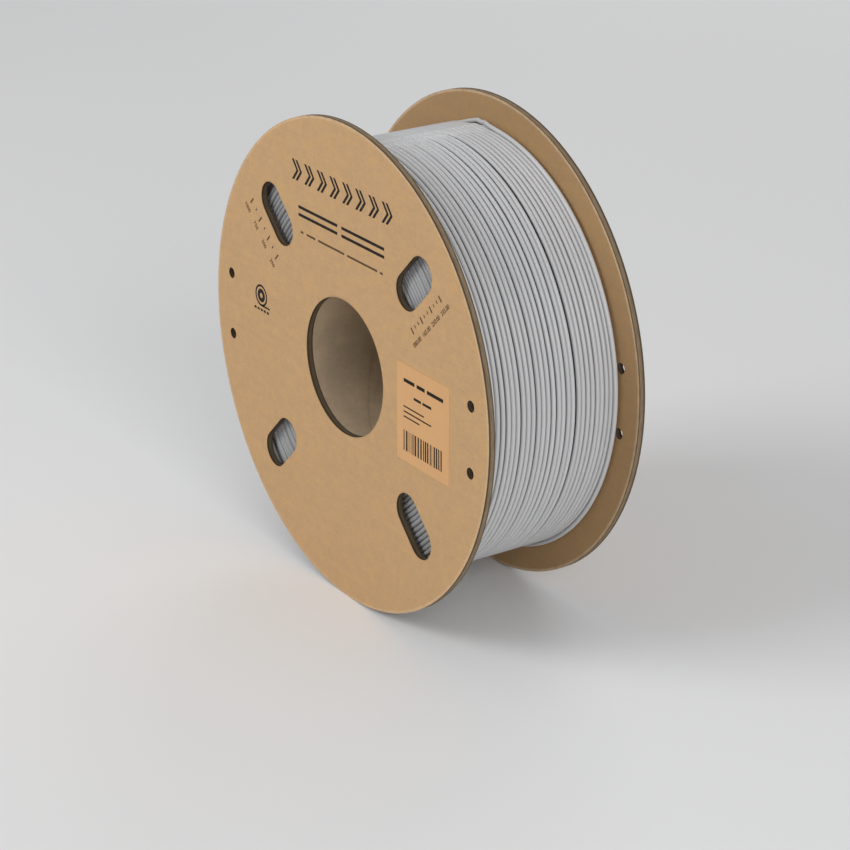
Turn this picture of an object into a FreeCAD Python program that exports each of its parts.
"""Cardboard filament spool: two laminated board flanges on paper tubes, wound full of filament.

Row frame: the spool stands like a wheel. +Y is the spool's axis, +Z is up, and the origin is on
the axis, midway between the flanges. The front flange, at -Y, carries the printing and the label.
Every size is in millimetres and every angle in degrees.
"""
import FreeCAD, Part
import math
import os
import Sketcher
from FreeCAD import Placement, Rotation, Vector

# alias, value, what it is
DRIVING_SIZES = (
    ("flange_diameter", 200.0, "outer diameter of both flanges"),
    ("bore_diameter", 56.7, "bore through the flanges and the hub tube"),
    ("inner_width", 66.6, "gap between the flanges"),
    ("paper_thickness", 0.3, "kraft paper that faces each flange"),
    ("board_thickness", 1.1, "one of the two grey board plies in a flange"),
    ("window_length", 28.0, "round-ended viewing window, end to end"),
    ("window_width", 15.0, "viewing window, across"),
    ("window_reach", 70.5, "from the spool's axis to a window's centre"),
    ("window_angle", 45.0, "from the X axis to the first window"),
    ("window_count", 4.0, "viewing windows in each flange"),
    ("tie_hole_diameter", 4.6, "small hole that takes the filament's free end"),
    ("tie_hole_reach", 89.0, "from the spool's axis to a tie hole"),
    ("tie_hole_angle", 8.7, "from the X axis up to a tie hole"),
    ("tube_wall", 3.0, "wall of the hub tube and of the drum tube"),
    ("drum_diameter", 90.0, "outside of the drum tube that the filament is wound on"),
    ("winding_diameter", 174.6, "over the outermost layer of filament"),
    ("winding_gap", 0.3, "from the winding to the drum tube and to each flange"),
    ("filament_diameter", 1.75, "the filament"),
    ("turns_per_layer", 29.0, "turns of filament side by side"),
    ("end_bend_radius", 4.0, "centreline bend of the free end, into its tie hole"),
    ("end_stub", 3.0, "how far the free end stands out of the back flange"),
    ("label_width", 35.6, "paper label, along X"),
    ("label_height", 40.0, "paper label, along Z"),
    ("label_thickness", 0.1, "paper label"),
    ("label_corner", 1.0, "corner radius of the paper label"),
    ("label_left", 38.4, "from the spool's axis to the label's nearer edge"),
    ("label_top", 15.8, "from the spool's axis up to the label's top edge"),
)
# the sheets of one flange, from the filament outwards, and the size that is each one's thickness
FLANGE_SHEETS = (
    ("inner_paper", "paper_thickness"),
    ("inner_board", "board_thickness"),
    ("outer_board", "board_thickness"),
    ("face_paper", "paper_thickness"),
)
TINY = 1e-6  # a length that counts as nothing
HALF_WIDTH = "Sizes.inner_width / 2"
FLANGE_THICKNESS = "2 * (Sizes.paper_thickness + Sizes.board_thickness)"
PITCH = "(Sizes.inner_width - 2 * Sizes.winding_gap) / Sizes.turns_per_layer"

doc = FreeCAD.newDocument("filament_spool")
sheet = doc.addObject("Spreadsheet::Sheet", "Sizes")
subparts = []


def fill_sheet():
    """Write the driving sizes, one to a row: its meaning, then its value under its alias."""
    for row, (alias, value, meaning) in enumerate(DRIVING_SIZES, start=1):
        sheet.set(f"A{row}", meaning)
        sheet.set(f"B{row}", str(value))
        sheet.setAlias(f"B{row}", alias)
    doc.recompute()


def size(alias):
    """A driving size, read back from the sheet."""
    return float(sheet.get(alias))


def new_body(name, y_expression="0"):
    """An empty body, placed along the spool's axis by an expression."""
    body = doc.addObject("PartDesign::Body", name)
    body.Label = name
    body.setExpression("Placement.Base.y", y_expression)
    subparts.append(body)
    return body


def origin_feature(body, role):
    """One of the body's own origin planes or axes."""
    return next(item for item in body.Origin.OriginFeatures if item.Role == role)


def new_sketch(body, name, role="XZ_Plane", turned=0.0):
    """A sketch on one of the body's own origin planes, its axes turned about the plane's normal."""
    sketch = body.newObject("Sketcher::SketchObject", name)
    sketch.AttachmentSupport = [(origin_feature(body, role), "")]
    sketch.MapMode = "FlatFace"
    sketch.AttachmentOffset = Placement(Vector(), Rotation(Vector(0, 0, 1), turned))
    return sketch


def constrain(sketch, *terms):
    """Add one geometric constraint."""
    return sketch.addConstraint(Sketcher.Constraint(*terms))


def drive(sketch, expression, *terms):
    """Add one dimensional constraint and take its value from an expression."""
    index = constrain(sketch, *terms)
    sketch.setExpression(f"Constraints[{index}]", expression)


def circle_at_origin(sketch, expression, guess):
    """A circle about the sketch's origin, its diameter driven by an expression."""
    circle = sketch.addGeometry(Part.Circle(Vector(), Vector(0, 0, 1), guess / 2), False)
    constrain(sketch, "Coincident", circle, 3, -1, 1)
    drive(sketch, expression, "Diameter", circle, guess)


def circle_at(sketch, diameter, x, y, guess):
    """A circle whose diameter and place are driven by expressions; guess is where it starts."""
    start_diameter = size("filament_diameter")
    circle = sketch.addGeometry(Part.Circle(guess, Vector(0, 0, 1), start_diameter / 2), False)
    drive(sketch, diameter, "Diameter", circle, start_diameter)
    drive(sketch, x, "DistanceX", -1, 1, circle, 3, guess.x)
    drive(sketch, y, "DistanceY", -1, 1, circle, 3, guess.y)


def pad(body, sketch, length_expression):
    """Pad a sketch on the XZ plane towards -Y."""
    feature = body.newObject("PartDesign::Pad", body.Name + "_pad")
    feature.Profile = sketch
    feature.setExpression("Length", length_expression)
    doc.recompute()


def cut_through(body, sketch, name):
    """Cut a sketch on the XZ plane right through towards -Y, and make sure that it cut."""
    before = body.Shape.Volume
    pocket = body.newObject("PartDesign::Pocket", f"{body.Name}_{name}")
    pocket.Profile = sketch
    pocket.Type = "ThroughAll"
    pocket.Reversed = True
    doc.recompute()
    assert body.Shape.Volume < before, f"{body.Label}: {name} cut nothing"
    return pocket


def repeat_round_axis(body, feature, count):
    """Repeat a cut evenly round the spool's axis."""
    pattern = body.newObject("PartDesign::PolarPattern", feature.Name + "_round")
    pattern.Originals = [feature]
    pattern.Axis = (origin_feature(body, "Y_Axis"), [""])
    pattern.Angle = 360.0
    pattern.Occurrences = count
    body.Tip = pattern
    doc.recompute()


def ring(name, outer, inner, length, y_expression):
    """A plain ring or tube about the spool's axis, reaching from its place towards -Y."""
    body = new_body(name, y_expression)
    sketch = new_sketch(body, name + "_section")
    circle_at_origin(sketch, outer, size("flange_diameter"))
    circle_at_origin(sketch, inner, size("bore_diameter"))
    pad(body, sketch, length)
    return body


def window_sketch(body):
    """One round-ended viewing window, its length pointing at the spool's axis."""
    sketch = new_sketch(body, body.Name + "_window", turned=size("window_angle"))
    radius = size("window_width") / 2
    run = size("window_length") / 2 - radius
    near, far = (Vector(size("window_reach") + side * run, 0, 0) for side in (-1, 1))
    up, out = Vector(0, radius, 0), Vector(radius, 0, 0)
    sketch.addGeometry([
        Part.LineSegment(near - up, far - up),
        Part.Arc(far - up, far + out, far + up),
        Part.LineSegment(far + up, near + up),
        Part.Arc(near + up, near - out, near - up),
    ], False)
    for line, line_end, arc, arc_end in ((0, 2, 1, 1), (2, 1, 1, 2), (2, 2, 3, 1), (0, 1, 3, 2)):
        constrain(sketch, "Tangent", line, line_end, arc, arc_end)
    constrain(sketch, "Equal", 1, 3)
    constrain(sketch, "PointOnObject", 1, 3, -1)
    constrain(sketch, "PointOnObject", 3, 3, -1)
    drive(sketch, "Sizes.window_width / 2", "Radius", 1, radius)
    half_run = "(Sizes.window_length - Sizes.window_width) / 2"
    drive(sketch, f"Sizes.window_reach + {half_run}", "DistanceX", -1, 1, 1, 3, far.x)
    drive(sketch, f"Sizes.window_reach - {half_run}", "DistanceX", -1, 1, 3, 3, near.x)
    return sketch


def tie_hole_sketch(body):
    """Two tie holes near the rim, just above the X axis at its two ends."""
    sketch = new_sketch(body, body.Name + "_tie_holes")
    reach, angle = size("tie_hole_reach"), math.radians(size("tie_hole_angle"))
    for side in (1, -1):
        circle_at(sketch, "Sizes.tie_hole_diameter",
                  f"{side} * Sizes.tie_hole_reach * cos(Sizes.tie_hole_angle * 1 deg)",
                  "Sizes.tie_hole_reach * sin(Sizes.tie_hole_angle * 1 deg)",
                  Vector(side * reach * math.cos(angle), reach * math.sin(angle), 0))
    return sketch


def flange_sheet(name, thickness, y_expression):
    """One sheet of a flange: a disc with the bore, the windows and the tie holes cut in it."""
    body = ring(name, "Sizes.flange_diameter", "Sizes.bore_diameter", thickness, y_expression)
    window = cut_through(body, window_sketch(body), "window_cut")
    repeat_round_axis(body, window, int(size("window_count")))
    tie_holes = cut_through(body, tie_hole_sketch(body), "tie_hole_cut")
    repeat_round_axis(body, tie_holes, 2)


def flanges():
    """Both flanges, each four sheets glued face to face."""
    inner_side = HALF_WIDTH
    for name, alias in FLANGE_SHEETS:
        outer_side = f"{inner_side} + Sizes.{alias}"
        flange_sheet("front_" + name, f"Sizes.{alias}", f"-({inner_side})")
        flange_sheet("back_" + name, f"Sizes.{alias}", outer_side)
        inner_side = outer_side


def tubes():
    """The hub tube, flush with the bore, and the wider drum tube that the filament is wound on."""
    wall = "2 * Sizes.tube_wall"
    ring("hub_tube", f"Sizes.bore_diameter + {wall}", "Sizes.bore_diameter", "Sizes.inner_width",
         HALF_WIDTH)
    ring("drum_tube", "Sizes.drum_diameter", f"Sizes.drum_diameter - {wall}", "Sizes.inner_width",
         HALF_WIDTH)


def winding():
    """The wound filament: a ring that shows each turn of its last layer as a round ridge."""
    centre_line = "Sizes.winding_diameter / 2 - Sizes.filament_diameter / 2"
    body = ring("filament_winding", f"2 * ({centre_line})",
                "Sizes.drum_diameter + 2 * Sizes.winding_gap",
                "Sizes.inner_width - 2 * Sizes.winding_gap", f"{HALF_WIDTH} - Sizes.winding_gap")
    # the body's place is the winding's back face, so its first turn is half a pitch in from there
    section = new_sketch(body, "one_turn_section", "XY_Plane")
    circle_at(section, "Sizes.filament_diameter", centre_line, f"-({PITCH}) / 2",
              Vector(size("winding_diameter") / 2, -1, 0))
    turn = body.newObject("PartDesign::Revolution", "one_turn")
    turn.Profile = section
    turn.ReferenceAxis = (section, ["V_Axis"])
    turn.Angle = 360.0
    doc.recompute()
    layer = body.newObject("PartDesign::LinearPattern", "last_layer")
    layer.Originals = [turn]
    layer.Direction = (origin_feature(body, "Y_Axis"), [""])
    layer.Reversed = True
    layer.Occurrences = int(size("turns_per_layer"))
    layer.setExpression("Length", f"({PITCH}) * (Sizes.turns_per_layer - 1)")
    body.Tip = layer
    doc.recompute()


def free_end():
    """The filament's free end: it lifts off the last layer, bends and leaves by a tie hole.

    The body's own X axis is the line on which the filament leaves the winding, upwards at the
    spool's -X side, and its own Z axis points away from the spool's axis.
    """
    on_layer = "(Sizes.winding_diameter / 2 + Sizes.filament_diameter / 2 + Sizes.winding_gap)"
    lift_angle = f"acos({on_layer} / Sizes.tie_hole_reach)"
    turned = f"Sizes.tie_hole_angle * 1 deg + {lift_angle}"
    reach = f"sqrt(Sizes.tie_hole_reach ^ 2 - {on_layer} ^ 2)"
    # it continues the second turn in from the back flange
    turn_depth = f"(Sizes.winding_gap + 1.5 * {PITCH})"
    body = new_body("filament_end", f"{HALF_WIDTH} - {turn_depth}")
    # this sets the axis to turn about, and the expression then sets the angle
    body.Placement = Placement(Vector(), Rotation(Vector(0, -1, 0), 90))
    body.setExpression("Placement.Rotation.Angle", f"90 deg + {turned}")
    body.setExpression("Placement.Base.x", f"-{on_layer} * cos({turned})")
    body.setExpression("Placement.Base.z", f"-{on_layer} * sin({turned})")

    # drawn with three bend radii along and two up, and the dimensions then set the real lengths
    route = new_sketch(body, "end_route", "XY_Plane")
    bend = size("end_bend_radius")
    far, up, sag = 3 * bend, 2 * bend, bend * (1 - math.sqrt(0.5))
    route.addGeometry([
        Part.LineSegment(Vector(0, 0, 0), Vector(far - bend, 0, 0)),
        Part.Arc(Vector(far - bend, 0, 0), Vector(far - sag, sag, 0), Vector(far, bend, 0)),
        Part.LineSegment(Vector(far, bend, 0), Vector(far, up, 0)),
    ], False)
    constrain(route, "Coincident", 0, 1, -1, 1)
    constrain(route, "Horizontal", 0)
    constrain(route, "Vertical", 2)
    constrain(route, "Tangent", 0, 2, 1, 1)
    constrain(route, "Tangent", 1, 2, 2, 1)
    drive(route, "Sizes.end_bend_radius", "Radius", 1, bend)
    drive(route, reach, "DistanceX", -1, 1, 2, 2, far)
    drive(route, f"{turn_depth} + {FLANGE_THICKNESS} + Sizes.end_stub",
          "DistanceY", -1, 1, 2, 2, up)

    section = new_sketch(body, "end_section", "YZ_Plane")
    circle_at_origin(section, "Sizes.filament_diameter", size("filament_diameter"))
    pipe = body.newObject("PartDesign::AdditivePipe", "end_pipe")
    pipe.Profile = section
    pipe.Spine = (route, ["Edge1", "Edge2", "Edge3"])
    doc.recompute()


def label():
    """The paper label stuck on the front face, right of the bore."""
    body = new_body("spool_label", f"-({HALF_WIDTH} + {FLANGE_THICKNESS})")
    sketch = new_sketch(body, "label_outline")
    left, top = size("label_left"), size("label_top")
    right, bottom = left + size("label_width"), top - size("label_height")
    corners = [Vector(left, bottom, 0), Vector(right, bottom, 0), Vector(right, top, 0),
               Vector(left, top, 0)]
    sketch.addGeometry([Part.LineSegment(one, two)
                        for one, two in zip(corners, corners[1:] + corners[:1])], False)
    for line in range(4):
        constrain(sketch, "Coincident", line, 2, (line + 1) % 4, 1)
        constrain(sketch, "Vertical" if line % 2 else "Horizontal", line)
    drive(sketch, "Sizes.label_left", "DistanceX", -1, 1, 0, 1, left)
    drive(sketch, "Sizes.label_width", "DistanceX", 0, 1, 0, 2, size("label_width"))
    drive(sketch, "Sizes.label_top", "DistanceY", -1, 1, 2, 2, top)
    drive(sketch, "Sizes.label_height", "DistanceY", 1, 1, 1, 2, size("label_height"))
    pad(body, sketch, "Sizes.label_thickness")
    # the four edges that run through the paper's thickness
    corners = [f"Edge{index}" for index, edge in enumerate(body.Shape.Edges, start=1)
               if edge.tangentAt(edge.FirstParameter).cross(Vector(0, 1, 0)).Length < TINY]
    plain_label = body.Tip
    rounded = body.newObject("PartDesign::Fillet", "label_corners")
    rounded.Base = (plain_label, corners)
    rounded.setExpression("Radius", "Sizes.label_corner")
    doc.recompute()


def check_and_write():
    """Stop if anything failed to build, then write one STEP file for each sub-part."""
    failed = [item.Label for item in doc.Objects if {"Invalid", "Error"} & set(item.State)]
    assert not failed, f"failed: {failed}"
    os.makedirs("parts", exist_ok=True)
    for body in subparts:
        shape = body.Shape
        assert not shape.isNull() and shape.isValid(), f"{body.Label} has no valid shape"
        assert len(shape.Solids) == 1, f"{body.Label} is not one solid"
        shape.exportStep(f"parts/{body.Label}.step")
        box = shape.optimalBoundingBox(False, False)
        print(f"{body.Label:18s} {shape.Volume:12.1f} mm3  x {box.XMin:.2f} {box.XMax:.2f}"
              f"  y {box.YMin:.2f} {box.YMax:.2f}  z {box.ZMin:.2f} {box.ZMax:.2f}")


fill_sheet()
flanges()
tubes()
winding()
free_end()
label()
check_and_write()
